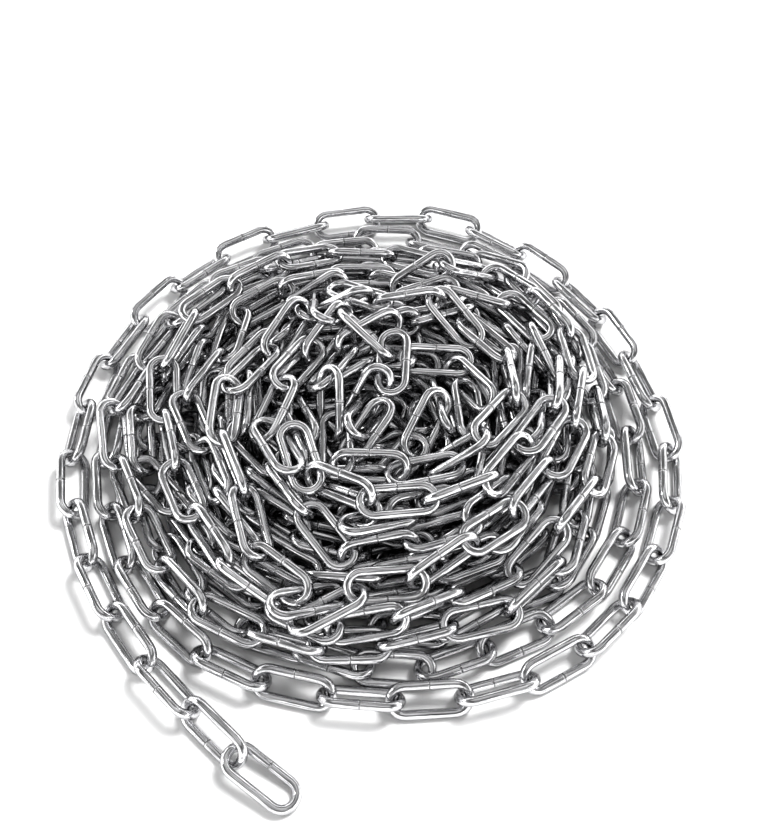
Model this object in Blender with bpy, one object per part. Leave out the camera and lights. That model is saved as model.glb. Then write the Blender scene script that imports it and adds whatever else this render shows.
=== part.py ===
"""A heap of welded long-link steel chain, laid down as one inward spiral.

The chain starts at a free end, runs once round the floor as the outer turn and
goes on inside that as a second turn. Those links are separate solids, each
threaded through the next. Inside them the piled turns lie in four layers round
a plain core. Each layer is one solid: a ring that stands for its hidden turns,
joined to rows of links for the turns that show. The lowest layer's row goes on
from the last separate link.

Metres, +Z up. The origin is on the floor under the middle of the heap, +X is
to the right of someone who stands at the free end, and +Y is away from them.
"""

import math
from typing import NamedTuple

import bmesh
import bpy
import numpy as np
from mathutils import Euler, Matrix, Vector

# Link, in metres: 5 mm wire, 35 mm inside length, 20 mm outside width
WIRE = 0.005
LINK_INSIDE_LENGTH = 0.035
LINK_OUTSIDE_WIDTH = 0.020
WIRE_RADIUS = WIRE / 2
BEND_RADIUS = (LINK_OUTSIDE_WIDTH - WIRE) / 2
STRAIGHT = LINK_INSIDE_LENGTH + WIRE - 2 * BEND_RADIUS
BEND_STEPS = 6
BEVEL_RESOLUTION = 2

# Running gaps between solids
LINK_GAP = 0.00035
LAYER_GAP = 0.0003
CORE_GAP = 0.0005

# Separate links: the tail, the outer turn and most of the second turn
LINK_COUNT = 54

# Roll of a link about its length: neighbours lean opposite ways, square to
# each other, and the lean swings slowly along the chain
ROLL_MEAN = math.radians(43.5)
ROLL_SWAY = math.radians(4.0)
ROLL_SWAY_CYCLE = 9.0
SECOND_LINK_ROLL = math.radians(50.0)

# The free end link lies almost flat, its inner end lifted onto the next link.
# Its turn angle is in degrees past the start of the plan below
END_LINK_ROLL = math.radians(5.0)
END_LINK_PITCH = math.radians(-8.0)
END_LINK_TURN = 0.122

# Plan: distance from the heap's middle, in metres, at each turn angle in
# degrees from the free end. The chain runs clockwise, seen from above.
FREE_END_DIRECTION = math.radians(-105.0)
PLAN = [
    (0, 0.2005), (10, 0.1875), (20, 0.1798), (32, 0.1738), (45, 0.1705), (65, 0.1688),
    (90, 0.1645), (115, 0.1625), (135, 0.1625), (158, 0.1635), (180, 0.1685), (202, 0.1630),
    (225, 0.1605), (243, 0.1615), (262, 0.1675), (285, 0.1695), (305, 0.1680), (320, 0.1635),
    (340, 0.1565), (355, 0.1545), (375, 0.1560), (390, 0.1545),
]
SPIRAL_START = 405.0
TURN_SPACING = 0.0187
EASE = 12.0

# Piled turns: the links of a row lean less than the separate ones, so that the
# row is one layer high, and their inner legs run into the ring
LAYER_HEIGHT = 0.0136
PILED_ROLL = math.asin((LAYER_HEIGHT - WIRE) / (2 * BEND_RADIUS))
LEG_OFFSET = BEND_RADIUS * math.cos(PILED_ROLL)
LEG_OVERLAP = 0.0010
ROW_BEND_STEPS = 3
ROW_BEVEL_RESOLUTION = 0
FLOOR_ROW_COUNT = 26
TOP_ROW_SPACING = 0.0188

# Section of a ring: its foot, the rim that carries the row's inner legs, and
# the valley behind that, as distances in from the rim and heights
FOOT_ROUNDING = 0.0025
SIDE_HEIGHT = 0.0045
RIM_HEIGHT = 0.0110
RIM_WIDTH = 0.0045
VALLEY_INSET = 0.0068
VALLEY_HEIGHT = 0.0045
SEAT_INSET = 0.0110
RING_COLUMNS = 36
# The lowest ring starts this many degrees past the last separate link. One
# turn later it ends this many past it, stepped in by a turn's spacing
STEP_START = 12.5
STEP_END = 9.5

# Core
CORE_RADIUS = 0.034
CORE_HEIGHT = 0.034
CORE_SIDES = 24
CORE_ROUNDING = 0.006

# Finish
STEEL_COLOR = (0.72, 0.72, 0.73, 1.0)
STEEL_ROUGHNESS = 0.22
CORE_COLOR = (0.30, 0.30, 0.31, 1.0)
CORE_ROUGHNESS = 0.45


class Layer(NamedTuple):
    """One layer of piled turns."""

    number: int
    step_in: float  # how far its outer row lies inside the last whole turn on the floor
    inner: float  # radius of its ring's inner wall, or how far that lies inside its outer row
    shift: float  # how far its middle lies toward +X
    rows: tuple  # the closed rows of links on it: how far inside its outer row, and how many links
    carries: bool  # whether another layer stands on it


LAYERS = (
    Layer(1, 0.0, CORE_RADIUS + CORE_GAP, 0.000, (), True),
    Layer(2, 0.0423, CORE_RADIUS + CORE_GAP, 0.000, ((0.0, 22),), True),
    Layer(3, 0.0639, 0.040, 0.004, ((0.0, 18),), True),
    Layer(4, 0.0822, TOP_ROW_SPACING - LEG_OFFSET + LEG_OVERLAP, 0.010, ((0.0, 16), (TOP_ROW_SPACING, 12)), False),
)


def clear_scene():
    """Remove every object that the file opens with."""
    for old in list(bpy.data.objects):
        bpy.data.objects.remove(old, do_unlink=True)


def metal(name, color, roughness):
    """A plain metallic material."""
    material = bpy.data.materials.new(name)
    material.use_nodes = True
    shader = material.node_tree.nodes["Principled BSDF"]
    shader.inputs["Base Color"].default_value = color
    shader.inputs["Metallic"].default_value = 1.0
    shader.inputs["Roughness"].default_value = roughness
    material.diffuse_color = color
    return material


def hermite(knots, x):
    """Smooth value at x through knots of (position, value)."""
    positions = [knot[0] for knot in knots]
    last = len(knots) - 1
    i = max(0, min(last - 1, int(np.searchsorted(positions, x)) - 1))

    def slope(k):
        a, b = max(0, k - 1), min(last, k + 1)
        return (knots[b][1] - knots[a][1]) / (knots[b][0] - knots[a][0])

    width = knots[i + 1][0] - knots[i][0]
    u = (x - knots[i][0]) / width
    start, end = knots[i][1], knots[i + 1][1]
    return (
        start * (2 * u**3 - 3 * u**2 + 1)
        + end * (3 * u**2 - 2 * u**3)
        + slope(i) * width * (u**3 - 2 * u**2 + u)
        + slope(i + 1) * width * (u**3 - u**2)
    )


def plan_radius(turn):
    """Distance of the chain from the heap's middle at a turn angle in degrees."""
    if turn > SPIRAL_START:
        outside = (plan_radius(turn - 360.0 - EASE) + plan_radius(turn - 360.0 + EASE)) / 2
        return outside - TURN_SPACING
    spiral_knot = (SPIRAL_START, hermite(PLAN, SPIRAL_START - 360.0) - TURN_SPACING)
    return hermite(PLAN + [spiral_knot], turn)


def polar_point(radius, turn, shift=0.0):
    """Point at a distance from a layer's middle, in the direction of a turn angle in degrees."""
    angle = FREE_END_DIRECTION - math.radians(turn)
    return Vector((shift + radius * math.cos(angle), radius * math.sin(angle), 0.0))


def plan_point(turn):
    """Point of the chain's plan at a turn angle in degrees."""
    return polar_point(plan_radius(turn), turn)


def link_roll(number):
    """Signed lean of a link out of the floor's plane."""
    side = 1 if number % 2 else -1
    if number == 1:
        return END_LINK_ROLL
    if number == 2:
        return -SECOND_LINK_ROLL
    if number > LINK_COUNT:
        return side * PILED_ROLL
    sway = ROLL_SWAY * math.sin(2 * math.pi * number / ROLL_SWAY_CYCLE)
    return side * (ROLL_MEAN + side * sway)


def link_matrix(path, turn, roll, base=0.0, pitch=0.0):
    """Place of a link on a path, given as a function of the turn angle, with its lowest point at a height."""
    step = 0.5
    along = path(turn + step) - path(turn - step)
    heading = Matrix.Rotation(math.atan2(along.y, along.x), 4, "Z")
    turned = heading @ Matrix.Rotation(pitch, 4, "Y") @ Matrix.Rotation(roll, 4, "X")
    lowest = min((turned @ Vector(point)).z for point in link_outline(BEND_STEPS))
    centre = path(turn)
    centre.z = base + WIRE_RADIUS - lowest
    return Matrix.Translation(centre) @ turned


def link_outline(bend_steps):
    """Points of the wire's centreline, once round the link."""
    points = []
    for end, start_angle in ((1, -math.pi / 2), (-1, math.pi / 2)):
        for k in range(bend_steps + 1):
            angle = start_angle + math.pi * k / bend_steps
            x = end * STRAIGHT / 2 + BEND_RADIUS * math.cos(angle)
            points.append((x, BEND_RADIUS * math.sin(angle), 0.0))
    return points


def dense_outline(bend_steps):
    """The centreline as points about 1 mm apart, for measuring distances."""
    corners = np.array(link_outline(bend_steps))
    following = np.roll(corners, -1, axis=0)
    points = []
    for a, b in zip(corners, following):
        count = max(2, int(np.linalg.norm(b - a) / (WIRE / 6)))
        points.extend(a + (b - a) * k / count for k in range(count))
    return np.array(points)


def placed_outline(outline, place):
    """The points of a link's centreline where the link lies."""
    matrix = np.array(place)
    return outline @ matrix[:3, :3].T + matrix[:3, 3]


def wire_distance(first, second):
    """Least distance between two placed centrelines."""
    gaps = first[:, None, :] - second[None, :, :]
    return math.sqrt((gaps**2).sum(axis=2).min())


def place_links(count):
    """Turn angle and place of each link, pulled straight to a small gap at each eye."""
    outlines = {steps: dense_outline(steps) for steps in (BEND_STEPS, ROW_BEND_STEPS)}
    turns = [END_LINK_TURN]
    places = [link_matrix(plan_point, END_LINK_TURN, link_roll(1), pitch=END_LINK_PITCH)]
    before = placed_outline(outlines[BEND_STEPS], places[0])
    wanted = WIRE + LINK_GAP
    for number in range(2, count + 1):
        outline = outlines[BEND_STEPS if number <= LINK_COUNT else ROW_BEND_STEPS]
        span = math.degrees(LINK_INSIDE_LENGTH / plan_radius(turns[-1]))
        low, high = turns[-1] + 0.84 * span, turns[-1] + 1.06 * span
        for _ in range(24):
            middle = (low + high) / 2
            place = link_matrix(plan_point, middle, link_roll(number))
            if wire_distance(before, placed_outline(outline, place)) > wanted:
                low = middle
            else:
                high = middle
        turns.append(low)
        places.append(link_matrix(plan_point, low, link_roll(number)))
        before = placed_outline(outline, places[-1])
    return turns, places


def link_wire(name, places, bend_steps, bevel_resolution):
    """A curve with one closed loop of wire for each place."""
    curve = bpy.data.curves.new(name, "CURVE")
    curve.dimensions = "3D"
    curve.bevel_depth = WIRE_RADIUS
    curve.bevel_resolution = bevel_resolution
    outline = link_outline(bend_steps)
    for place in places:
        spline = curve.splines.new("POLY")
        spline.points.add(len(outline) - 1)
        for slot, point in zip(spline.points, outline):
            slot.co = (*(place @ Vector(point)), 1.0)
        spline.use_cyclic_u = True
        spline.use_smooth = True
    return curve


def add_links(collection, material, places):
    """Every separate link, numbered from the free end."""
    wire = link_wire("link_wire", [Matrix.Identity(4)], BEND_STEPS, BEVEL_RESOLUTION)
    wire.materials.append(material)
    for number, matrix in enumerate(places, start=1):
        link = bpy.data.objects.new(f"link_{number:02d}", wire)
        link.location = matrix.to_translation()
        link.rotation_euler = Euler(matrix.to_euler())
        collection.objects.link(link)


def layer_base(layer):
    """Height of a layer's underside."""
    return (layer.number - 1) * (LAYER_HEIGHT + LAYER_GAP)


def row_radius(layer, turn, first):
    """Distance of a layer's outer row from its middle, at a turn angle.

    The lowest row is the chain's own way on the floor, which ends one turn
    spacing inside its start. The upper ones spread that step over the turn.
    """
    if layer.number == 1:
        return plan_radius(turn)
    step = plan_radius(first - 360.0) - plan_radius(first)
    return plan_radius(turn - 360.0) + step * (turn - first) / 360.0 - layer.step_in


def row_places(layer, inset, count, first):
    """Places of the links of a closed row, evenly spaced along it."""
    def path(turn):
        return polar_point(row_radius(layer, turn, first) - inset, turn, layer.shift)

    turns = first + np.arange(361.0)
    points = np.array([path(turn) for turn in turns])
    lengths = np.concatenate([[0.0], np.cumsum(np.linalg.norm(np.diff(points, axis=0), axis=1))])
    base = layer_base(layer)
    places = []
    for number in range(count):
        turn = float(np.interp(lengths[-1] * number / count, lengths, turns))
        places.append(link_matrix(path, turn, PILED_ROLL if number % 2 else -PILED_ROLL, base))
    return places


def ring_section(layer, row):
    """Cross-section of a layer's ring in one direction, as (distance, height) points.

    The ring of a layer that carries another fills the whole space inside its
    row. The top layer's ring only joins its two rows.
    """
    base = layer_base(layer)
    rim = row - LEG_OFFSET + LEG_OVERLAP
    outside = [(rim - FOOT_ROUNDING, base), (rim, base + SIDE_HEIGHT), (rim, base + RIM_HEIGHT)]
    if layer.carries:
        top = base + LAYER_HEIGHT
        valley = [(rim - RIM_WIDTH, base + RIM_HEIGHT), (rim - VALLEY_INSET, base + VALLEY_HEIGHT)]
        return [(layer.inner, base), *outside, *valley, (rim - SEAT_INSET, top), (layer.inner, top)]
    inner = row - layer.inner
    return outside + [(inner, base + RIM_HEIGHT), (inner, base + SIDE_HEIGHT), (inner + FOOT_ROUNDING, base)]


def ring_mesh(layer, first):
    """A layer's ring, lofted from its cross-sections."""
    sweep = 360.0 if layer.number > 1 else 360.0 + STEP_END - STEP_START
    steps = RING_COLUMNS if layer.number > 1 else RING_COLUMNS - 1
    mesh = bmesh.new()
    rings = []
    for column in range(RING_COLUMNS):
        turn = first + sweep * column / steps
        section = ring_section(layer, row_radius(layer, turn, first))
        corners = [polar_point(far, turn, layer.shift) + Vector((0, 0, height)) for far, height in section]
        rings.append([mesh.verts.new(corner) for corner in corners])
    for ring, following in zip(rings, rings[1:] + rings[:1]):
        for k, vertex in enumerate(ring):
            beside = (k + 1) % len(ring)
            mesh.faces.new((vertex, ring[beside], following[beside], following[k]))
    bmesh.ops.recalc_face_normals(mesh, faces=mesh.faces)
    data = bpy.data.meshes.new(f"piled_turns_{layer.number}")
    mesh.to_mesh(data)
    mesh.free()
    return data


def add_row(collection, name, places):
    """The links of a layer's rows as one mesh, for joining to the ring."""
    wire = link_wire(name, places, ROW_BEND_STEPS, ROW_BEVEL_RESOLUTION)
    holder = bpy.data.objects.new(name, wire)
    collection.objects.link(holder)
    evaluated = holder.evaluated_get(bpy.context.evaluated_depsgraph_get())
    row = bpy.data.objects.new(name, bpy.data.meshes.new_from_object(evaluated))
    bpy.data.objects.remove(holder)
    row.display_type = "WIRE"
    row.hide_render = True
    collection.objects.link(row)
    return row


def add_layer(collection, guides, material, layer, first, floor_row):
    """One layer of piled turns: its ring, joined to its rows of links."""
    data = ring_mesh(layer, first)
    data.materials.append(material)
    ring = bpy.data.objects.new(data.name, data)
    collection.objects.link(ring)
    places = list(floor_row) if layer.number == 1 else []
    for inset, count in layer.rows:
        places += row_places(layer, inset, count, first)
    union = ring.modifiers.new("rows", "BOOLEAN")
    union.operation = "UNION"
    union.use_self = True
    union.object = add_row(guides, f"row_links_{layer.number}", places)


def add_core(collection, material):
    """The plain round core that stands for the links nobody sees."""
    mesh = bmesh.new()
    bmesh.ops.create_cone(
        mesh, cap_ends=True, segments=CORE_SIDES, radius1=CORE_RADIUS, radius2=CORE_RADIUS,
        depth=CORE_HEIGHT, matrix=Matrix.Translation((0, 0, CORE_HEIGHT / 2)),
    )
    top = [edge for edge in mesh.edges if all(v.co.z > CORE_HEIGHT / 2 for v in edge.verts)]
    bmesh.ops.bevel(mesh, geom=top, offset=CORE_ROUNDING, segments=2, profile=0.5, affect="EDGES")
    data = bpy.data.meshes.new("heap_core")
    mesh.to_mesh(data)
    mesh.free()
    data.materials.append(material)
    core = bpy.data.objects.new("heap_core", data)
    collection.objects.link(core)


def main():
    """Build the whole heap."""
    clear_scene()
    heap = bpy.data.collections.new("steel_chain_heap")
    guides = bpy.data.collections.new("rows_of_links")
    for collection in (heap, guides):
        bpy.context.scene.collection.children.link(collection)
    steel = metal("steel", STEEL_COLOR, STEEL_ROUGHNESS)
    core_steel = metal("core_steel", CORE_COLOR, CORE_ROUGHNESS)
    turns, places = place_links(LINK_COUNT + FLOOR_ROW_COUNT)
    add_links(heap, steel, places[:LINK_COUNT])
    first = turns[LINK_COUNT - 1] + STEP_START
    for layer in LAYERS:
        add_layer(heap, guides, steel, layer, first, places[LINK_COUNT:])
    add_core(heap, core_steel)


main()
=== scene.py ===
"""Looks of a heap of welded long-link steel chain.

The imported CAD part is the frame. Its separate links give the places of the
free tail, the outer turn and most of the turn inside that. The rest of the
chain goes on from the last of them: it is laid along a spiral that climbs onto
itself, each link through the next, and then settles under its own weight, link
against link. Everything is in metres, +Z up, on the floor at height 0.
"""

import logging
import math
from dataclasses import dataclass, field
from enum import Enum

import bpy
import numpy as np
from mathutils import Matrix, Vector


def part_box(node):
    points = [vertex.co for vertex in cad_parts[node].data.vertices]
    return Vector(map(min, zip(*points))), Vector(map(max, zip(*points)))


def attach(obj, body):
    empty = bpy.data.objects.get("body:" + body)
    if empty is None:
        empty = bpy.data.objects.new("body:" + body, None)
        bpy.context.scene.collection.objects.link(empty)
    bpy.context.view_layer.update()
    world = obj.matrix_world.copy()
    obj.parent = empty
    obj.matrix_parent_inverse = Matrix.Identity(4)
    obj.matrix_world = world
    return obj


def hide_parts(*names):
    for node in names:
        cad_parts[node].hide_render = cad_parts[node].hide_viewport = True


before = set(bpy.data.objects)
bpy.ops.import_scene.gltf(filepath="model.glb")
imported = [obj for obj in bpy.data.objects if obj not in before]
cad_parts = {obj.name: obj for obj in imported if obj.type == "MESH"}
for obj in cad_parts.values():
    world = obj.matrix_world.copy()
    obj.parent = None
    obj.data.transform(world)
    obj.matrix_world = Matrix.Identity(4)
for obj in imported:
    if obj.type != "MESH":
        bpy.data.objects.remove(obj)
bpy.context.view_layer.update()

log = logging.getLogger("chain_heap")

Array = np.ndarray
Socket = bpy.types.NodeSocket

BODY = "root"
GRAVITY = 9.81
TINY = 1e-9
PARALLEL = 1e-16  # rods whose spread is under this run side by side


class WeldLeg(Enum):
    """Which straight leg of a link carries the weld."""

    UPPER = 1.0
    LOWER = -1.0


class Lean(Enum):
    """Which way a link leans as it is laid; neighbours lean opposite ways."""

    LEFT = 1.0
    RIGHT = -1.0


def rotations(axis: int, angles: Array) -> Array:
    """Rotation matrices about one axis.

    Args:
        axis: 0 for X, 1 for Y, 2 for Z.
        angles: one angle in radians for each matrix.

    Returns:
        An array of matrices, shaped (count, 3, 3).
    """
    first, second = (axis + 1) % 3, (axis + 2) % 3
    matrices = np.zeros((len(angles), 3, 3))
    matrices[:, axis, axis] = 1.0
    matrices[:, first, first] = matrices[:, second, second] = np.cos(angles)
    matrices[:, second, first] = np.sin(angles)
    matrices[:, first, second] = -np.sin(angles)
    return matrices


def spins(vectors: Array) -> Array:
    """Rotation matrices for rotation vectors.

    Args:
        vectors: axis times angle in radians, shaped (count, 3).

    Returns:
        An array of matrices, shaped (count, 3, 3).
    """
    angles = np.linalg.norm(vectors, axis=1)
    axes = vectors / np.maximum(angles, TINY)[:, None]
    crosses = np.zeros((len(vectors), 3, 3))
    for row, column, part, sign in (
        (0, 1, 2, -1), (0, 2, 1, 1), (1, 0, 2, 1), (1, 2, 0, -1), (2, 0, 1, -1), (2, 1, 0, 1)
    ):
        crosses[:, row, column] = sign * axes[:, part]
    sines = np.sin(angles)[:, None, None]
    cosines = np.cos(angles)[:, None, None]
    return np.eye(3) + sines * crosses + (1 - cosines) * (crosses @ crosses)


def gathered(bodies: Array, vectors: Array, count: int) -> Array:
    """Sum of the vectors that fall to each body.

    Args:
        bodies: the body that each vector belongs to.
        vectors: the vectors, shaped (any, 3).
        count: how many bodies there are.

    Returns:
        One vector for each body, shaped (count, 3).
    """
    return np.stack([np.bincount(bodies, vectors[:, k], count) for k in range(3)], axis=1)


def along_chain(count: int, spacing: int, seed: int) -> Array:
    """A random number for each link that changes smoothly from link to link.

    Args:
        count: how many links there are.
        spacing: links from one freely drawn number to the next.
        seed: the seed of the draw.

    Returns:
        One number for each link, about as often below 0 as above.
    """
    knots = np.random.default_rng(seed).normal(0, 1, count // spacing + 4)
    whole, part = np.divmod(np.arange(count) / spacing, 1.0)
    part = part * part * (3 - 2 * part)
    return knots[whole.astype(int)] * (1 - part) + knots[whole.astype(int) + 1] * part


@dataclass
class Places:
    """Where links lie: a centre, and a frame with X along the link and Z square to it."""

    centres: Array
    turned: Array

    def __len__(self) -> int:
        """How many links there are."""
        return len(self.centres)

    def and_also(self, others: "Places") -> "Places":
        """These links, followed by others."""
        return Places(
            np.vstack([self.centres, others.centres]), np.vstack([self.turned, others.turned])
        )

    def picked(self, which: Array) -> "Places":
        """Some of these links."""
        return Places(self.centres[which], self.turned[which])

    def set_out(self, points: Array) -> Array:
        """Points given in one link's own frame, placed for every link."""
        return self.centres[:, None, :] + np.einsum("nij,kj->nki", self.turned, points)


@dataclass(frozen=True)
class WeldSeam:
    """The butt weld in the middle of one leg: a fine groove with a burr on one side."""

    groove: tuple[tuple[float, float], ...] = ((0.00006, -0.00016), (0.00020, -0.00014))
    burr: tuple[tuple[float, float], ...] = ((0.00042, 0.00007), (0.00075, 0.00005), (0.0013, 0.0))
    smooth: tuple[tuple[float, float], ...] = ((0.00042, 0.00001), (0.0009, 0.0))

    def side(self, burred: bool) -> tuple[tuple[float, float], ...]:
        """Distances from the seam and the change of radius there, on one side of it."""
        return self.groove + (self.burr if burred else self.smooth)


@dataclass
class LinkSkin:
    """The surface of one link, in its own frame."""

    points: Array
    quads: Array
    wire: Array  # for each point: cosine and sine round the wire, and distance along it


@dataclass(frozen=True)
class LinkShape:
    """One link: round wire bent to two straight legs and two round ends."""

    wire: float = 0.005
    inside_length: float = 0.035
    outside_width: float = 0.020
    sides: int = 18
    bend_steps: int = 10
    leg_parts: tuple[float, ...] = (0.35, 0.70)
    bend_thinning: float = 0.03
    rod_bend_steps: int = 6
    weld: WeldSeam = WeldSeam()

    @property
    def wire_radius(self) -> float:
        """Half the wire's thickness."""
        return self.wire / 2

    @property
    def bend_radius(self) -> float:
        """Radius of the wire's middle line round an end."""
        return (self.outside_width - self.wire) / 2

    @property
    def straight(self) -> float:
        """Length of a straight leg."""
        return self.inside_length + self.wire - 2 * self.bend_radius

    @property
    def wire_length(self) -> float:
        """Length of the wire's middle line, once round."""
        return 2 * self.straight + 2 * math.pi * self.bend_radius

    def rods(self) -> Array:
        """Corners of the wire's middle line as straight rods, for settling."""
        corners = []
        for end in (1, -1):
            for k in range(self.rod_bend_steps + 1):
                angle = math.pi * (k / self.rod_bend_steps - 0.5)
                x = end * (self.straight / 2 + self.bend_radius * math.cos(angle))
                corners.append((x, end * self.bend_radius * math.sin(angle), 0.0))
        return np.array(corners)

    def stations(self) -> list[tuple[float, float]]:
        """Distances along the wire from the weld, each with its change of radius."""
        half = self.straight / 2
        bend = math.pi * self.bend_radius
        stations = list(self.weld.side(True))
        stations += [(half * part, 0.0) for part in self.leg_parts]
        stations += [(half + bend * k / self.bend_steps, 0.0) for k in range(self.bend_steps + 1)]
        stations += [(half + bend + self.straight * part, 0.0) for part in self.leg_parts]
        far = 3 * half + bend
        stations += [(far + bend * k / self.bend_steps, 0.0) for k in range(self.bend_steps + 1)]
        stations += [(self.wire_length - half * part, 0.0) for part in reversed(self.leg_parts)]
        far_side = reversed(self.weld.side(False))
        stations += [(self.wire_length - away, change) for away, change in far_side]
        return stations

    def along(self, distance: float) -> tuple[Array, Array, float]:
        """The wire's middle line at a distance from the weld.

        Args:
            distance: metres along the wire.

        Returns:
            The point, the direction outward from the link, and how much of the
            bend's thinning the wire has there.
        """
        half = self.straight / 2
        bend = math.pi * self.bend_radius
        legs = (
            (0.0, half, -1),
            (half + bend, 3 * half + bend, 1),
            (3 * half + 2 * bend, 4 * half + 2 * bend, -1),
        )
        for start, end, side in legs:
            if start <= distance <= end:
                middle = 0.0 if start == 0.0 else (start + end) / 2
                middle = self.wire_length if side < 0 and start > 0 else middle
                x = -side * (distance - middle)
                return np.array([x, side * self.bend_radius, 0.0]), np.array([0.0, side, 0.0]), 0.0
        first = distance < half + bend
        part = (distance - half if first else distance - 3 * half - bend) / bend
        angle = math.pi * (part - 0.5) + (0.0 if first else math.pi)
        outward = np.array([math.cos(angle), math.sin(angle), 0.0])
        middle = np.array([half if first else -half, 0.0, 0.0])
        return middle + outward * self.bend_radius, outward, math.sin(math.pi * part)

    def middle_line(self, parts: int) -> Array:
        """Evenly spaced points of the wire's middle line, once round."""
        return np.array([self.along((k + 0.5) / parts * self.wire_length)[0] for k in range(parts)])

    def skin(self) -> LinkSkin:
        """The link's surface, with where each point lies on the wire."""
        around = 2 * math.pi * np.arange(self.sides) / self.sides
        up = np.array([0.0, 0.0, 1.0])
        points, wire = [], []
        for distance, change in self.stations():
            middle, outward, thinned = self.along(distance)
            radius = self.wire_radius + change
            across = radius * (1 - self.bend_thinning * thinned) * np.cos(around)
            upward = radius * np.sin(around)
            points.append(middle + across[:, None] * outward + upward[:, None] * up)
            run = np.full(self.sides, distance)
            wire.append(np.stack([np.cos(around), np.sin(around), run], axis=1))
        rings = len(points)
        ring, side = np.divmod(np.arange(rings * self.sides), self.sides)
        after, beside = (ring + 1) % rings, (side + 1) % self.sides
        corners = ((ring, side), (after, side), (after, beside), (ring, beside))
        quads = np.stack([a * self.sides + b for a, b in corners], axis=1)
        return LinkSkin(np.vstack(points), quads, np.vstack(wire))


@dataclass(frozen=True)
class LaidLinks:
    """The links that lie on the floor one by one, as the CAD part has them."""

    prefix: str = "link_"

    def names(self) -> list[str]:
        """Their nodes, from the free end inward."""
        return sorted(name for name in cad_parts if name.startswith(self.prefix))

    def places(self) -> Places:
        """Where they lie, measured on their solids."""
        centres, turned = [], []
        for name in self.names():
            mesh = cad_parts[name].data
            points = np.zeros(len(mesh.vertices) * 3)
            mesh.vertices.foreach_get("co", points)
            points = points.reshape(-1, 3)
            axes = np.linalg.svd(points - points.mean(axis=0), full_matrices=False)[2]
            axes[2] = np.cross(axes[0], axes[1])
            reach = points @ axes.T
            centres.append((reach.max(axis=0) + reach.min(axis=0)) / 2 @ axes)
            turned.append(axes.T)
        return Places(np.array(centres), np.array(turned))


@dataclass(frozen=True)
class SpiralStop:
    """A stop on the way of the piled turns."""

    revolutions: float
    radius: float
    level: float


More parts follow.
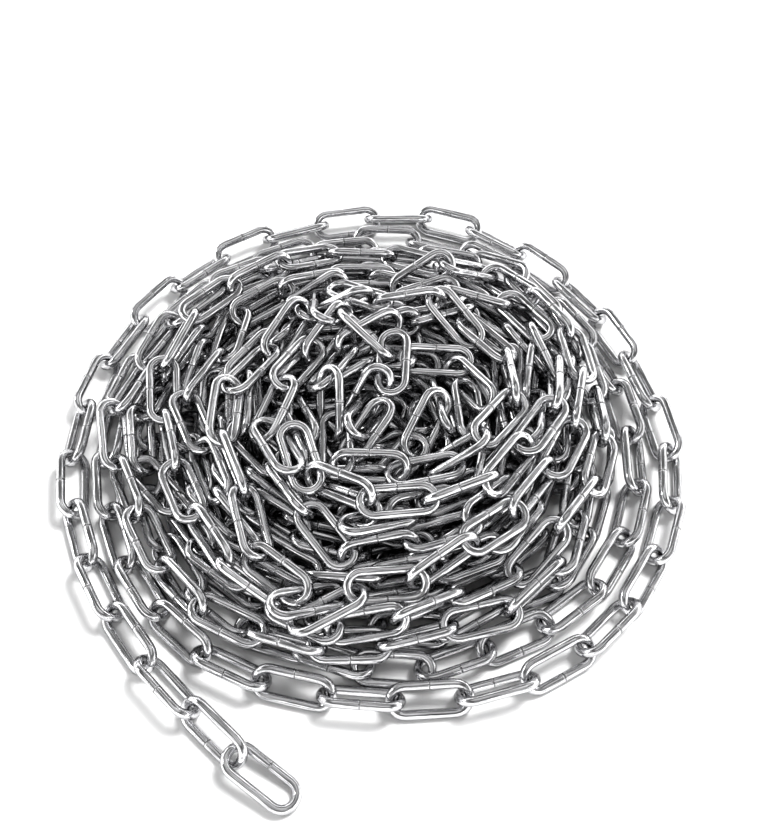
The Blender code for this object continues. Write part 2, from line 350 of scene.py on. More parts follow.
@dataclass(frozen=True)
class PiledRoute:
    """The way of the chain inside the laid links: in on the floor, then out and in on top."""

    joint: float = 0.0336  # from one eye's contact to the next
    turn_spacing: float = 0.0176
    floor_height: float = 0.0078
    level_height: float = 0.0172
    floor_end_radius: float = 0.036
    stops: tuple[SpiralStop, ...] = (
        SpiralStop(0.0, 0.036, 0.0), SpiralStop(0.4, 0.028, 1.0), SpiralStop(6.2, 0.137, 1.0),
        SpiralStop(6.4, 0.135, 2.0), SpiralStop(10.9, 0.063, 2.0), SpiralStop(11.2, 0.062, 3.0),
        SpiralStop(14.0, 0.112, 3.0), SpiralStop(14.2, 0.110, 4.0), SpiralStop(16.6, 0.064, 4.0),
    )
    shifts: tuple[tuple[float, float], ...] = (
        (0.0, 0.0), (-0.012, -0.003), (-0.005, -0.003), (0.006, 0.000), (0.009, 0.000)
    )
    # The inner end leaves the top turn and hangs down into the dip
    last_stops: tuple[tuple[float, float, float], ...] = (
        (0.040, 0.036, 0.075), (0.040, 0.002, 0.068),
        (0.004, -0.002, 0.064), (0.006, -0.034, 0.050),
    )
    lean: float = math.radians(45)
    sway: float = math.radians(32)
    sway_links: int = 6
    degree: float = math.radians(1.0)
    parts: int = 40
    heading_points: int = 20
    seed: int = 10

    def floor_part(self, laid: Places) -> tuple[list[Array], float]:
        """Points of the turns on the floor.

        Args:
            laid: the links outside them.

        Returns:
            The points, a degree apart, and the angle that the last one is at.
        """
        x, y = laid.centres[:, 0], laid.centres[:, 1]
        angles = list(np.unwrap(np.arctan2(y, x)))
        radii = list(np.hypot(x, y))
        points: list[Array] = []
        while True:
            angle = angles[-1] - self.degree
            before = angle + 2 * math.pi
            radius = float(np.interp(-before, -np.array(angles), radii)) - self.turn_spacing
            if radius < self.floor_end_radius:
                return points, angle
            angles.append(angle)
            radii.append(radius)
            x, y = radius * math.cos(angle), radius * math.sin(angle)
            points.append(np.array([x, y, self.floor_height]))

    def piled_part(self, start: float) -> list[Array]:
        """Points of the turns on top.

        Args:
            start: the angle that the floor turns end at.

        Returns:
            The points, a degree apart.
        """
        stops = np.array([
            (stop.revolutions * 2 * math.pi, stop.radius, stop.level) for stop in self.stops
        ])
        shifts = np.array(self.shifts)
        points = []
        for passed in np.arange(self.degree, stops[-1, 0], self.degree):
            radius = np.interp(passed, stops[:, 0], stops[:, 1])
            level = np.interp(passed, stops[:, 0], stops[:, 2])
            shift = [np.interp(level, range(len(shifts)), shifts[:, k]) for k in range(2)]
            points.append(np.array([
                radius * math.cos(start - passed) + shift[0],
                radius * math.sin(start - passed) + shift[1],
                self.floor_height + self.level_height * level,
            ]))
        for stop in self.last_stops:
            points += list(np.linspace(points[-1], stop, self.parts, endpoint=False)[1:])
        return points

    def joints(self, laid: Places) -> Array:
        """Where each link hands over to the next, as far apart as the eyes let them be."""
        floor_points, angle = self.floor_part(laid)
        points = np.array(floor_points + self.piled_part(angle))
        heading = laid.turned[-1][:, 0]
        if heading @ (points[self.heading_points] - laid.centres[-1]) < 0:
            heading = -heading
        joints = [laid.centres[-1] + heading * self.joint / 2]
        reached = 0
        while True:
            away = np.linalg.norm(points[reached:] - joints[-1], axis=1)
            beyond = np.nonzero(away >= self.joint)[0]
            if not len(beyond):
                return np.array(joints)
            reached += beyond[0]
            run = points[reached] - joints[-1]
            joints.append(joints[-1] + run * self.joint / away[beyond[0]])

    def places(self, laid: Places) -> Places:
        """The loose links before they settle.

        Args:
            laid: the links that the chain goes on from.

        Returns:
            The places, each link through the one before it.
        """
        joints = self.joints(laid)
        runs = np.diff(joints, axis=0)
        runs /= np.linalg.norm(runs, axis=1)[:, None]
        first = Lean.LEFT if len(laid) % 2 == 0 else Lean.RIGHT
        leans = first.value * self.lean * np.where(np.arange(len(runs)) % 2 == 0, 1.0, -1.0)
        leans += self.sway * along_chain(len(runs), self.sway_links, self.seed)
        turned = rotations(2, np.arctan2(runs[:, 1], runs[:, 0]))
        turned = turned @ rotations(1, -np.arcsin(runs[:, 2])) @ rotations(0, leans)
        return Places((joints[1:] + joints[:-1]) / 2, turned)


@dataclass(frozen=True)
class Stirring:
    """Gentle pushes while the chain falls, as a hand lays it: neighbours move together."""

    push: float = 6.0
    twist: float = 1100.0
    push_links: int = 5
    twist_links: int = 4
    steps: int = 110
    above: float = 0.018
    seed: int = 11


@dataclass
class Contacts:
    """Where wires press on each other or on the floor, one row for each side of a contact."""

    bodies: Array
    arms: Array
    normals: Array
    depths: Array
    twists: Array
    pairs: int


@dataclass
class Settling:
    """Lets the loose links fall onto the held ones, the floor and each other.

    Every link is a rigid body, and its wire is a ring of short rods. Rods that
    overlap are pushed apart a little at a time, and their slip is braked.
    """

    shape: LinkShape
    places: Places
    held: int
    ceiling: float
    step: float = 0.001
    steps: int = 420
    passes: int = 3
    search_every: int = 6
    report_every: int = 60
    batch: int = 100  # links whose rods are searched at a time
    margin: float = 0.0035
    friction: float = 0.35
    floor_friction: float = 0.4
    relaxation: float = 1.4
    calm_from: float = 0.7
    damping: float = 0.985
    calm_damping: float = 0.9
    top_speed: float = 0.5
    top_spin: float = 40.0
    pressed_by: float = 0.6
    last_steps: int = 40
    last_passes: int = 8
    decimals: int = 7
    fine_parts: int = 200
    stirring: Stirring = Stirring()
    velocities: Array = field(init=False)
    spin_rates: Array = field(init=False)
    rods: Array = field(init=False)
    easiness: Array = field(init=False)
    moves: Array = field(init=False)
    lid: float = field(init=False)
    rod_pairs: tuple[Array, Array] = field(init=False)

    def __post_init__(self) -> None:
        """Works out how easily a link turns about each of its own axes."""
        self.rods = self.shape.rods()
        self.velocities = np.zeros((len(self.places), 3))
        self.spin_rates = np.zeros((len(self.places), 3))
        self.moves = np.where(np.arange(len(self.places)) < self.held, 0.0, 1.0)
        square = self.shape.middle_line(self.fine_parts) ** 2
        inertia = square.sum(axis=1).mean() - square.mean(axis=0) + self.shape.wire_radius**2 / 4
        self.easiness = 1 / inertia

    def search(self) -> None:
        """Finds the rods of different links that may touch before the next search."""
        count, size = len(self.places), len(self.rods)
        centres = self.places.centres
        outlines = self.places.set_out(self.rods)
        following = np.roll(outlines, -1, axis=1)
        reach = (self.shape.wire + self.margin) / 2
        low = np.minimum(outlines, following) - reach
        high = np.maximum(outlines, following) + reach
        # Links whose centres lie further apart than this can't touch before the next search
        furthest = self.shape.inside_length + 4 * reach
        near = ((centres[:, None] - centres[None]) ** 2).sum(axis=2) < furthest ** 2
        first, second = np.nonzero(np.triu(near, 1))
        loose = (first >= self.held) | (second >= self.held)
        first, second = first[loose], second[loose]
        link_low, link_high = low.min(axis=1), high.max(axis=1)
        meet = (link_low[first] < link_high[second]) & (link_low[second] < link_high[first])
        first, second = first[meet.all(axis=1)], second[meet.all(axis=1)]
        ours, theirs = [], []
        batches = count // self.batch + 1
        for a, b in zip(np.array_split(first, batches), np.array_split(second, batches)):
            meet = (low[a][:, :, None] < high[b][:, None]) & (low[b][:, None] < high[a][:, :, None])
            pair, mine, other = np.nonzero(meet.all(axis=3))
            ours.append(a[pair] * size + mine)
            theirs.append(b[pair] * size + other)
        self.rod_pairs = (np.concatenate(ours), np.concatenate(theirs))

    def touching(self) -> tuple[Array, Array, Array, Array, Array]:
        """Nearest points of the rods that overlap.

        Returns:
            The rods of each pair, the nearest points on them, and the distances.
        """
        size = len(self.rods)
        flat = self.places.set_out(self.rods).reshape(-1, 3)
        ours, theirs = self.rod_pairs
        p, q = flat[ours], flat[theirs]
        u = flat[ours // size * size + (ours + 1 - ours // size * size) % size] - p
        v = flat[theirs // size * size + (theirs + 1 - theirs // size * size) % size] - q
        apart = p - q
        a, b, c = (u * u).sum(axis=1), (u * v).sum(axis=1), (v * v).sum(axis=1)
        d, e = (u * apart).sum(axis=1), (v * apart).sum(axis=1)
        spread = a * c - b * b
        crossing = np.clip((b * e - c * d) / np.maximum(spread, PARALLEL), 0, 1)
        s = np.where(spread > PARALLEL, crossing, 0.5)
        t = np.clip((b * s + e) / c, 0, 1)
        s = np.clip((b * t - d) / a, 0, 1)
        on_ours, on_theirs = p + u * s[:, None], q + v * t[:, None]
        distances = np.linalg.norm(on_ours - on_theirs, axis=1)
        close = distances < self.shape.wire
        return ours[close], theirs[close], on_ours[close], on_theirs[close], distances[close]

    def contacts(self) -> Contacts:
        """Every contact between wires, with the floor and with the hand that presses on top."""
        ours, theirs, on_ours, on_theirs, distances = self.touching()
        size, radius = len(self.rods), self.shape.wire_radius
        away = (on_ours - on_theirs) / np.maximum(distances, TINY)[:, None]
        outlines = self.places.set_out(self.rods)
        loose = self.moves[:, None] > 0
        floor_body, floor_corner = np.nonzero((outlines[:, :, 2] < radius) & loose)
        top_body, top_corner = np.nonzero((outlines[:, :, 2] > self.lid - radius) & loose)
        on_floor, on_top = outlines[floor_body, floor_corner], outlines[top_body, top_corner]
        bodies = np.concatenate([ours // size, theirs // size, floor_body, top_body])
        where = np.concatenate([on_ours, on_theirs, on_floor, on_top])
        up = np.tile([0.0, 0.0, 1.0], (len(on_floor), 1))
        down = np.tile([0.0, 0.0, -1.0], (len(on_top), 1))
        normals = np.concatenate([away, -away, up, down])
        arms = where - self.places.centres[bodies]
        twists = np.einsum("nij,ni->nj", self.places.turned[bodies], np.cross(arms, normals))
        overlap = self.shape.wire - distances
        depths = np.concatenate([
            overlap, overlap, radius - on_floor[:, 2], on_top[:, 2] - self.lid + radius
        ])
        return Contacts(bodies, arms, normals, depths, twists, len(ours))

    def push_apart(self) -> tuple[Contacts, Array, Array]:
        """Moves and turns the links so that they overlap less.

        Returns:
            The contacts, how hard each one pressed, and each link's share of its pushes.
        """
        found = self.contacts()
        turned = self.places.turned[found.bodies]
        eased = found.twists * self.easiness
        weights = self.moves[found.bodies] * (1 + (found.twists * eased).sum(axis=1))
        n = found.pairs
        weights[:n] += weights[n:2 * n]
        weights[n:2 * n] = weights[:n]
        pressed = found.depths / np.maximum(weights, TINY) * self.moves[found.bodies]
        count = len(self.places)
        counts = np.bincount(found.bodies, minlength=count)
        shares = (self.relaxation / np.maximum(counts, self.relaxation))[:, None]
        pushes = pressed[:, None] * found.normals
        turns = pressed[:, None] * np.einsum("nij,nj->ni", turned, eased)
        self.places.centres += shares * gathered(found.bodies, pushes, count)
        turning = spins(shares * gathered(found.bodies, turns, count))
        self.places.turned = turning @ self.places.turned
        return found, pressed, shares

    def brake(self, found: Contacts, pressed: Array, shares: Array) -> None:
        """Friction: slows the slip of wires that press on each other.

        Args:
            found: the contacts of the last pass.
            pressed: how hard each one pressed.
            shares: each link's share of its pushes.
        """
        n, bodies = found.pairs, found.bodies
        speeds = self.velocities[bodies] + np.cross(self.spin_rates[bodies], found.arms)
        slips = speeds.copy()
        slips[:n] -= speeds[n:2 * n]
        slips[n:2 * n] -= speeds[:n]
        slips -= (slips * found.normals).sum(axis=1)[:, None] * found.normals
        rates = np.linalg.norm(slips, axis=1)
        grip = np.full(len(bodies), self.floor_friction)
        grip[:2 * n] = self.friction
        braking = np.minimum(rates / 2, np.maximum(grip * pressed / self.step, 0))
        braking /= np.maximum(rates, TINY)
        reach = 1 + (found.arms**2).sum(axis=1) * self.easiness.mean()
        change = -slips * (braking * self.moves[bodies] / reach)[:, None]
        turned = self.places.turned[bodies]
        turning = np.einsum("nij,ni->nj", turned, np.cross(found.arms, change)) * self.easiness
        turning = np.einsum("nij,nj->ni", turned, turning)
        self.velocities += shares * gathered(bodies, change, len(self.places))
        self.spin_rates += shares * gathered(bodies, turning, len(self.places))

    def advance(self, passes: int) -> float:
        """One step in time.

        Args:
            passes: how often the links are pushed apart in it.

        Returns:
            The deepest overlap that was pushed apart.
        """
        before, turned_before = self.places.centres.copy(), self.places.turned.copy()
        moves = self.moves[:, None]
        self.velocities[:, 2] -= GRAVITY * self.step * self.moves
        self.places.centres += self.velocities * self.step * moves
        self.places.turned = spins(self.spin_rates * self.step * moves) @ self.places.turned
        for _ in range(passes):
            found, pressed, shares = self.push_apart()
        self.places.centres = self.places.centres.round(self.decimals)
        self.places.turned = self.places.turned.round(self.decimals)
        self.velocities = (self.places.centres - before) / self.step
        change = self.places.turned @ turned_before.transpose(0, 2, 1)
        self.spin_rates = np.stack([
            change[:, 2, 1] - change[:, 1, 2],
            change[:, 0, 2] - change[:, 2, 0],
            change[:, 1, 0] - change[:, 0, 1],
        ], axis=1) / (2 * self.step)
        self.brake(found, pressed, shares)
        return float(found.depths.max()) if len(found.depths) else 0.0

    def limit(self, values: Array, most: float, damping: float) -> Array:
        """Velocities or spins, damped and kept under the most that they may be."""
        sizes = np.linalg.norm(values, axis=1)[:, None]
        return values * damping * np.minimum(1, most / np.maximum(sizes, TINY))

    def run(self) -> Places:
        """Settles the chain.

        Returns:
            Where every link lies at the end, the held ones included.
        """
        count, stir = len(self.places), self.stirring
        start = float(self.places.set_out(self.rods)[:, :, 2].max()) + self.shape.wire_radius
        pushes = np.stack([
            along_chain(count, stir.push_links, stir.seed + k) for k in range(2)
        ], axis=1)
        twists = along_chain(count, stir.twist_links, stir.seed + 2)
        for number in range(self.steps):
            lowered = min(1.0, number / (self.steps * self.pressed_by))
            self.lid = start + (self.ceiling - start) * lowered
            if number % self.search_every == 0:
                self.search()
            if number < stir.steps:
                upper = (self.places.centres[:, 2] > stir.above) & (self.moves > 0)
                self.velocities[upper, :2] += stir.push * self.step * pushes[upper]
                axes = self.places.turned[upper, :, 0]
                self.spin_rates[upper] += axes * (twists[upper] * stir.twist * self.step)[:, None]
            last = self.steps - number <= self.last_steps
            deepest = self.advance(self.last_passes if last else self.passes)
            damping = self.calm_damping if number > self.steps * self.calm_from else self.damping
            self.velocities = self.limit(self.velocities, self.top_speed, damping)
            self.spin_rates = self.limit(self.spin_rates, self.top_spin, damping)
            if number % self.report_every == 0 or number == self.steps - 1:
                log.info("settling step %d: deepest overlap %.2f mm", number, deepest * 1000)
        left, _, right = np.linalg.svd(self.places.turned)
        settled = Places(self.places.centres, left @ right)
        lowest = settled.set_out(self.shape.middle_line(self.fine_parts))[:, :, 2].min(axis=1)
        settled.centres[:, 2] += np.maximum(self.shape.wire_radius - lowest, 0)
        return settled


@dataclass(frozen=True)
class Wiring:
    """Adds and joins the nodes of one node tree."""

    tree: bpy.types.NodeTree

    def node(self, kind: str, **settings: object) -> bpy.types.Node:
        """A new node with some of its settings."""
        node = self.tree.nodes.new(kind)
        for name, value in settings.items():
            setattr(node, name, value)
        return node

    def feed(self, socket: Socket, value: object) -> None:
        """Joins a socket to another, or sets it to a plain value."""
        if isinstance(value, bpy.types.NodeSocket):
            self.tree.links.new(value, socket)
        else:
            socket.default_value = value

    def maths(self, operation: str, *values: object, clamp: bool = False) -> Socket:
        """The result of one operation on up to three values."""
        node = self.node("ShaderNodeMath", operation=operation, use_clamp=clamp)
        for socket, value in zip(node.inputs, values):
            self.feed(socket, value)
        return node.outputs[0]

    def fed(self, node: bpy.types.Node, values: dict[str, object]) -> bpy.types.Node:
        """The node, with its named inputs fed."""
        for name, value in values.items():
            self.feed(node.inputs[name], value)
        return node

    def noise(self, place: Socket, scale: float, detail: float, roughness: float = 0.5) -> Socket:
        """Smooth random values from 0 to 1 over the surface."""
        node = self.fed(self.node("ShaderNodeTexNoise"), {
            "Vector": place, "Scale": scale, "Detail": detail, "Roughness": roughness
        })
        return node.outputs["Fac"]

    def spread(
        self, value: Socket, low: float, high: float, to_low: object, to_high: object
    ) -> Socket:
        """A value that runs from one range to another and stays inside it."""
        node = self.fed(self.node("ShaderNodeMapRange", clamp=True), {
            "Value": value, "From Min": low, "From Max": high, "To Min": to_low, "To Max": to_high
        })
        return node.outputs[0]

    def tinted(self, amount: Socket, first: object, second: object) -> Socket:
        """A colour between two colours."""
        node = self.node("ShaderNodeMix", data_type="RGBA")
        colours = [socket for socket in node.inputs if socket.type == "RGBA"]
        for socket, value in zip((node.inputs["Factor"], *colours), (amount, first, second)):
            self.feed(socket, value)
        return next(socket for socket in node.outputs if socket.type == "RGBA")


def group_tree(
    name: str, inputs: dict[str, str], outputs: tuple[str, ...]
) -> tuple[Wiring, bpy.types.Node, bpy.types.Node]:
    """An empty shader node group with named sockets.

    Args:
        name: the group's name.
        inputs: the kind of each input socket, by name.
        outputs: the names of its number outputs.

    Returns:
        The group's wiring, its input node and its output node.
    """
    tree = bpy.data.node_groups.new(name, "ShaderNodeTree")
    for socket, kind in inputs.items():
        tree.interface.new_socket(name=socket, in_out="INPUT", socket_type=kind)
    for socket in outputs:
        tree.interface.new_socket(name=socket, in_out="OUTPUT", socket_type="NodeSocketFloat")
    wiring = Wiring(tree)
    return wiring, wiring.node("NodeGroupInput"), wiring.node("NodeGroupOutput")


@dataclass(frozen=True)
class DrawLines:
    """Fine lines that the drawing die leaves along the wire."""

    name: str = "draw_lines"
    link_offset: float = 61.0  # sets one link's lines apart from another's
    bands: tuple[float, float] = (1.0, 1.0)  # how fine they are, and the noise's detail
    lines: tuple[float, float] = (4.5, 3.0)
    noise_roughness: float = 0.6

    def build(self) -> bpy.types.NodeTree:
        """The node group: broad bands and fine lines, both along the wire."""
        inputs = {
            "Wire": "NodeSocketVector", "Link": "NodeSocketFloat", "Fineness": "NodeSocketFloat",
            "Stretch": "NodeSocketFloat",
        }
        wiring, given, result = group_tree(self.name, inputs, ("Bands", "Lines"))
        split = wiring.node("ShaderNodeSeparateXYZ")
        wiring.feed(split.inputs[0], given.outputs["Wire"])
        along = wiring.maths("MULTIPLY", split.outputs["Z"], given.outputs["Stretch"])
        along = wiring.maths("MULTIPLY_ADD", given.outputs["Link"], self.link_offset, along)
        for output, (factor, detail) in (("Bands", self.bands), ("Lines", self.lines)):
            place = wiring.node("ShaderNodeCombineXYZ")
            fineness = wiring.maths("MULTIPLY", given.outputs["Fineness"], factor)
            wiring.feed(place.inputs["X"], wiring.maths("MULTIPLY", split.outputs["X"], fineness))
            wiring.feed(place.inputs["Y"], wiring.maths("MULTIPLY", split.outputs["Y"], fineness))
            wiring.feed(place.inputs["Z"], along)
            pattern = wiring.noise(place.outputs[0], 1.0, detail, self.noise_roughness)
            wiring.feed(result.inputs[output], pattern)
        return wiring.tree


@dataclass(frozen=True)
class WeldMark:
    """The darker, rougher ring of the weld and the heat tint beside it."""

    name: str = "weld_mark"

    def build(self) -> bpy.types.NodeTree:
        """The node group: a seam mask and a wider tint mask."""
        inputs = {
            "Wire": "NodeSocketVector", "Wire Length": "NodeSocketFloat", "Seam": "NodeSocketFloat",
            "Tint": "NodeSocketFloat",
        }
        wiring, given, result = group_tree(self.name, inputs, ("Seam", "Tint"))
        split = wiring.node("ShaderNodeSeparateXYZ")
        wiring.feed(split.inputs[0], given.outputs["Wire"])
        back = wiring.maths("SUBTRACT", given.outputs["Wire Length"], split.outputs["Z"])
        away = wiring.maths("MINIMUM", split.outputs["Z"], back)
        for output in ("Seam", "Tint"):
            near = wiring.maths("DIVIDE", away, given.outputs[output])
            wiring.feed(result.inputs[output], wiring.maths("SUBTRACT", 1.0, near, clamp=True))
        return wiring.tree


@dataclass(frozen=True)
class HandlingMarks:
    """Small dull rubs and specks from handling and from link on link."""

    name: str = "handling_marks"
    rub_scale: float = 90.0
    rub_detail: float = 3.0
    rub_roughness: float = 0.6
    rub_range: tuple[float, float] = (0.42, 0.68)
    dent_detail: float = 2.0

    def build(self) -> bpy.types.NodeTree:
        """The node group: broad rubs and small dents, in the part's own space."""
        wiring, given, result = group_tree(
            self.name, {"Place": "NodeSocketVector", "Size": "NodeSocketFloat"}, ("Rubs", "Dents")
        )
        rubs = wiring.noise(
            given.outputs["Place"], self.rub_scale, self.rub_detail, self.rub_roughness
        )
        wiring.feed(result.inputs["Rubs"], wiring.spread(rubs, *self.rub_range, 0.0, 1.0))
        place = wiring.node("ShaderNodeVectorMath", operation="SCALE")
        wiring.feed(place.inputs[0], given.outputs["Place"])
        wiring.feed(place.inputs["Scale"], given.outputs["Size"])
        dents = wiring.noise(place.outputs[0], 1.0, self.dent_detail)
        wiring.feed(result.inputs["Dents"], dents)
        return wiring.tree


@dataclass(frozen=True)
class BrightSteel:
    """Bright drawn stainless wire."""

    name: str = "bright_steel"
    light: tuple[float, float, float, float] = (0.93, 0.93, 0.94, 1.0)
    dark: tuple[float, float, float, float] = (0.38, 0.38, 0.39, 1.0)
    seam: tuple[float, float, float, float] = (0.05, 0.05, 0.05, 1.0)
    grazing: tuple[float, float, float, float] = (0.42, 0.42, 0.42, 1.0)
    polished: float = 0.05
    rubbed: float = 0.15
    fineness: float = 2.2
    stretch: float = 55.0
    band_depth: float = 0.00016
    line_depth: float = 0.00003
    line_range: tuple[float, float] = (0.35, 0.65)
    line_dulling: float = 0.10
    seam_width: float = 0.0005
    tint_width: float = 0.003
    tint_dulling: float = 0.15
    dent_scale: float = 700.0

    def material(
        self, groups: dict[str, bpy.types.NodeTree], wire_length: float
    ) -> bpy.types.Material:
        """Builds the material.

        Args:
            groups: the shared node groups, by name.
            wire_length: length of a link's wire, for finding its weld.

        Returns:
            The material.
        """
        made = bpy.data.materials.new(self.name)
        made.use_nodes = True
        wiring = Wiring(made.node_tree)
        shader = made.node_tree.nodes["Principled BSDF"]
        wire = wiring.node("ShaderNodeAttribute", attribute_name="wire").outputs["Vector"]
        link = wiring.node("ShaderNodeAttribute", attribute_name="link").outputs["Fac"]
        place = wiring.node("ShaderNodeTexCoord").outputs["Object"]

        lines = wiring.fed(wiring.node("ShaderNodeGroup", node_tree=groups["draw_lines"]), {
            "Wire": wire, "Link": link, "Fineness": self.fineness, "Stretch": self.stretch
        })
        weld = wiring.fed(wiring.node("ShaderNodeGroup", node_tree=groups["weld_mark"]), {
            "Wire": wire, "Wire Length": wire_length, "Seam": self.seam_width,
            "Tint": self.tint_width,
        })
        marks = wiring.fed(wiring.node("ShaderNodeGroup", node_tree=groups["handling_marks"]), {
            "Place": place, "Size": self.dent_scale
        })

        shade = wiring.spread(lines.outputs["Lines"], *self.line_range, 0.0, 1.0)
        colour = wiring.tinted(shade, self.dark, self.light)
        colour = wiring.tinted(weld.outputs["Seam"], colour, self.seam)
        wiring.feed(shader.inputs["Base Color"], colour)
        shader.inputs["Metallic"].default_value = 1.0
        shader.inputs["Specular Tint"].default_value = self.grazing
        gloss = wiring.spread(marks.outputs["Rubs"], 0.0, 1.0, self.polished, self.rubbed)
        gloss = wiring.maths("MULTIPLY_ADD", weld.outputs["Tint"], self.tint_dulling, gloss)
        gloss = wiring.maths(
            "MULTIPLY_ADD", lines.outputs["Lines"], self.line_dulling, gloss, clamp=True
        )
        wiring.feed(shader.inputs["Roughness"], gloss)

        height = wiring.maths("MULTIPLY", lines.outputs["Bands"], self.band_depth)
        height = wiring.maths("MULTIPLY_ADD", lines.outputs["Lines"], self.line_depth, height)
        height = wiring.maths("MULTIPLY_ADD", marks.outputs["Dents"], self.line_depth, height)
        bump = wiring.node("ShaderNodeBump")
        bump.inputs["Distance"].default_value = 1.0
        wiring.feed(bump.inputs["Height"], height)
        wiring.feed(shader.inputs["Normal"], bump.outputs["Normal"])
        return made


@dataclass
class ChainHeap:
    """The whole chain: the laid links one by one, and the piled ones in layers."""

    shape: LinkShape = LinkShape()
    laid: LaidLinks = LaidLinks()
    route: PiledRoute = PiledRoute()
    finish: BrightSteel = BrightSteel()
    layers: tuple[str, ...] = ("piled_turns_1", "piled_turns_2", "piled_turns_3", "piled_turns_4")
    core: str = "heap_core"
    core_reach: float = 0.044
    press_clearance: float = 0.0002
    weld_shares: tuple[float, float] = (0.8, 0.2)  # on the upper leg, and on the lower
    # The side of the free end link, which lies flat, that has the weld
    end_weld: tuple[float, float, float] = (1.0, 1.0, 0.0)
    seed: int = 5
    material: bpy.types.Material = field(init=False)
    skin: LinkSkin = field(init=False)

    def __post_init__(self) -> None:
        """Makes the shared node groups, the material and one link's surface."""
        groups = {made.name: made.build() for made in (DrawLines(), WeldMark(), HandlingMarks())}
        self.material = self.finish.material(groups, self.shape.wire_length)
        self.skin = self.shape.skin()

    def settled(self) -> tuple[Places, int]:
        """Every link's place.

        Returns:
            The places, and how many of them are laid one by one.
        """
        laid = self.laid.places()
        places = laid.and_also(self.route.places(laid))
        log.info("%d links, %.2f m of chain", len(places), len(places) * self.shape.inside_length)
        ceiling = float(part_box(self.layers[-1])[1].z) - self.press_clearance
        places = Settling(self.shape, places, len(laid), ceiling).run()
        return places, len(laid)

    def with_weld_up(self, places: Places) -> Places:
        """Turns links half round in their own plane, so that most welds are on the upper leg."""
        sides = np.random.default_rng(self.seed).choice(
            [WeldLeg.UPPER.value, WeldLeg.LOWER.value], size=len(places), p=self.weld_shares
        )
        upward = -np.sign(places.turned[:, 2, 1]) * sides
        upward[0] = -places.turned[0, :, 1] @ self.end_weld
        flips = rotations(2, np.where(upward < 0, math.pi, 0.0))
        return Places(places.centres, places.turned @ flips)

    def piece(self, name: str, places: Places, first: int) -> bpy.types.Object:
        """One mesh of links.

        Args:
            name: the piece's name.
            places: where its links lie.
            first: a number that sets its random shades apart from the other pieces'.

        Returns:
            The piece, in the scene.
        """
        points = places.set_out(self.skin.points)
        count, size = points.shape[:2]
        quads = (self.skin.quads[None] + size * np.arange(count)[:, None, None]).reshape(-1, 4)
        mesh = bpy.data.meshes.new(name)
        mesh.vertices.add(count * size)
        mesh.vertices.foreach_set("co", points.ravel())
        mesh.loops.add(quads.size)
        mesh.loops.foreach_set("vertex_index", quads.ravel())
        mesh.polygons.add(len(quads))
        mesh.polygons.foreach_set("loop_start", np.arange(0, quads.size, 4))
        mesh.polygons.foreach_set("loop_total", np.full(len(quads), 4))
        mesh.update(calc_edges=True)
        mesh.shade_smooth()
        wire = mesh.attributes.new("wire", "FLOAT_VECTOR", "POINT")
        wire.data.foreach_set("vector", np.tile(self.skin.wire, (count, 1)).ravel())
        shades = np.random.default_rng(self.seed + first).random(count)
        link = mesh.attributes.new("link", "FLOAT", "POINT")
        link.data.foreach_set("value", np.repeat(shades, size))
        mesh.materials.append(self.material)
        piece = bpy.data.objects.new(name, mesh)
        bpy.context.scene.collection.objects.link(piece)
        return piece

    def add(self, name: str, places: Places, first: int, node: str) -> None:
        """Builds a piece that stands for one CAD node.

        Args:
            name: the piece's name.
            places: where its links lie.
            first: see piece.
            node: the CAD node.
        """
        piece = self.piece(name, places, first)
        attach(piece, BODY)
        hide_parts(node)
        log.info("%s: %d links for %s", name, len(places), node)

    def build(self) -> None:
        """Builds every piece of the chain."""
        places, laid = self.settled()
        places = self.with_weld_up(places)
        for number, node in enumerate(self.laid.names()):
            self.add(f"chain_{node}", places.picked(np.array([number])), number, node)
        loose = places.picked(np.arange(laid, len(places)))
        tops = [float(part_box(node)[1].z) for node in self.layers]
        level = np.searchsorted(tops[:-1], loose.centres[:, 2])
        inner = np.hypot(loose.centres[:, 0], loose.centres[:, 1]) < self.core_reach
        core = inner & (loose.centres[:, 2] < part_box(self.core)[1].z)
        self.add("core_links", loose.picked(np.nonzero(core)[0]), laid, self.core)
        for number, node in enumerate(self.layers):
            chosen = np.nonzero((level == number) & ~core)[0]
            self.add(f"piled_links_{number + 1}", loose.picked(chosen), laid + number + 1, node)


@dataclass(frozen=True)
class SoftBox:
    """A soft light: a square panel that faces the middle of the heap."""

    name: str
    place: tuple[float, float, float]
    side: float
    power: float
    mirrored: bool = True  # whether polished wire shows the panel itself

    def build(self) -> None:
        """Adds the light to the scene."""
        light = bpy.data.lights.new(self.name, "AREA")
        light.shape = "SQUARE"
        light.size = self.side
        light.energy = self.power
        holder = bpy.data.objects.new(self.name, light)
        holder.location = self.place
        holder.rotation_euler = (-Vector(self.place)).to_track_quat("-Z", "Y").to_euler()
        holder.visible_glossy = self.mirrored
        bpy.context.scene.collection.objects.link(holder)


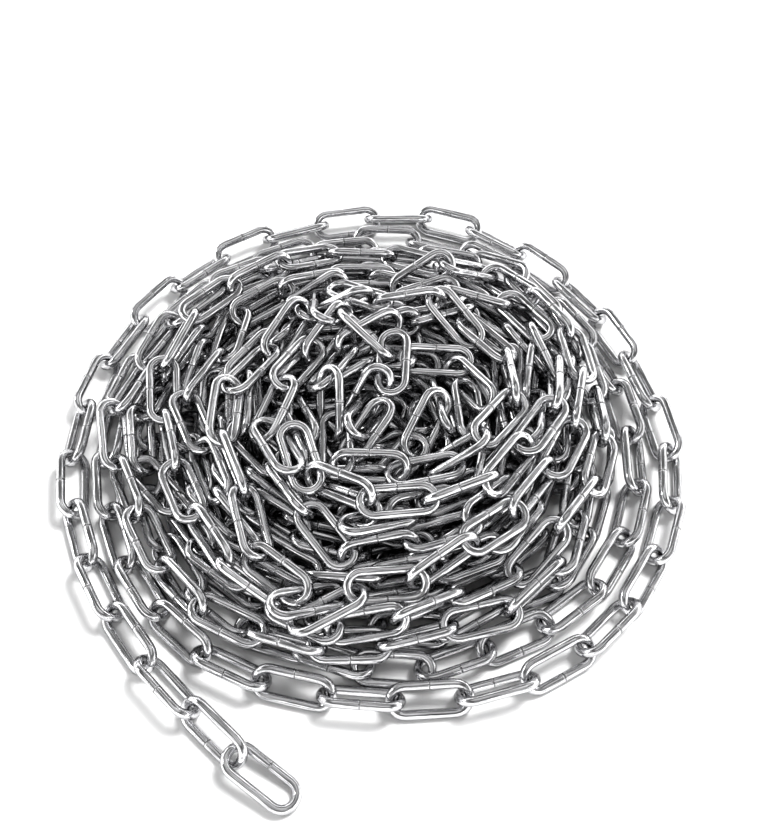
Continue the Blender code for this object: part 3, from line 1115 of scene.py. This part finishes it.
@dataclass(frozen=True)
class Studio:
    """A pale floor, a light tent with soft boxes, and the photograph's camera."""

    floor_side: float = 3.0
    floor_colour: tuple[float, float, float, float] = (0.70, 0.70, 0.70, 1.0)
    floor_roughness: float = 0.9
    floor_gloss: float = 0.1
    # The key light is a broad panel for the shadows and a smaller one that the wires mirror
    soft_boxes: tuple[SoftBox, ...] = (
        SoftBox("key_light", (2.40, 1.92, 4.40), 2.20, 320.0, mirrored=False),
        SoftBox("key_glint", (2.40, 1.92, 4.40), 0.80, 48.0),
        SoftBox("side_light", (-4.40, 0.80, 3.20), 1.20, 32.0),
    )
    # Brightness of the tent at each sine of the elevation
    tent: tuple[tuple[float, float], ...] = (
        (0.00, 2.20), (0.13, 2.10), (0.18, 0.25), (0.27, 0.20), (0.32, 1.80), (0.47, 1.70),
        (0.52, 0.32), (0.70, 0.40), (0.77, 0.17), (0.88, 0.17), (0.92, 0.60), (1.00, 0.58),
    )
    camera_elevation: float = math.radians(56.5)
    camera_distance: float = 0.665
    look_at: tuple[float, float, float] = (0.0065, 0.0163, 0.0)
    focal_pixels: float = 1140.0
    frame_height: float = 836.0
    sensor: float = 36.0

    def add_floor(self) -> None:
        """Adds the floor."""
        half = self.floor_side / 2
        mesh = bpy.data.meshes.new("floor")
        corners = [(-half, -half, 0), (half, -half, 0), (half, half, 0), (-half, half, 0)]
        mesh.from_pydata(corners, [], [(0, 1, 2, 3)])
        finish = bpy.data.materials.new("floor_paper")
        finish.use_nodes = True
        shader = finish.node_tree.nodes["Principled BSDF"]
        shader.inputs["Base Color"].default_value = self.floor_colour
        shader.inputs["Roughness"].default_value = self.floor_roughness
        shader.inputs["Specular IOR Level"].default_value = self.floor_gloss
        mesh.materials.append(finish)
        floor = bpy.data.objects.new("floor", mesh)
        bpy.context.scene.collection.objects.link(floor)

    def add_tent(self) -> None:
        """Sets the world to the inside of a light tent: bright and dark bands round the sky."""
        world = bpy.data.worlds.new("light_tent")
        world.use_nodes = True
        wiring = Wiring(world.node_tree)
        split = wiring.node("ShaderNodeSeparateXYZ")
        wiring.feed(split.inputs[0], wiring.node("ShaderNodeTexCoord").outputs["Generated"])
        ramp = wiring.node("ShaderNodeValToRGB")
        wiring.feed(ramp.inputs["Fac"], split.outputs["Z"])
        steps = ramp.color_ramp.elements
        while len(steps) < len(self.tent):
            steps.new(0.5)
        for step, (height, brightness) in zip(steps, self.tent):
            step.position = height
            step.color = (brightness, brightness, brightness, 1.0)
        wiring.feed(world.node_tree.nodes["Background"].inputs["Color"], ramp.outputs["Color"])
        bpy.context.scene.world = world

    def add_camera(self) -> None:
        """Adds the camera where the photograph was taken from."""
        lens = bpy.data.cameras.new("camera")
        lens.sensor_fit = "VERTICAL"
        lens.sensor_height = self.sensor
        lens.lens = self.focal_pixels / self.frame_height * self.sensor
        camera = bpy.data.objects.new("camera", lens)
        away = Vector((0, -math.cos(self.camera_elevation), math.sin(self.camera_elevation)))
        camera.location = Vector(self.look_at) + away * self.camera_distance
        camera.rotation_euler = (math.pi / 2 - self.camera_elevation, 0, 0)
        bpy.context.scene.collection.objects.link(camera)
        bpy.context.scene.camera = camera

    def build(self) -> None:
        """Builds the whole studio."""
        self.add_floor()
        self.add_tent()
        for soft_box in self.soft_boxes:
            soft_box.build()
        self.add_camera()
        shown = bpy.context.scene.view_settings
        shown.view_transform = "Standard"
        shown.look = "High Contrast"


def main() -> None:
    """Builds the studio and the chain."""
    logging.basicConfig(level=logging.INFO, format="%(name)s: %(message)s")
    Studio().build()
    ChainHeap().build()


if __name__ == "__main__":
    main()
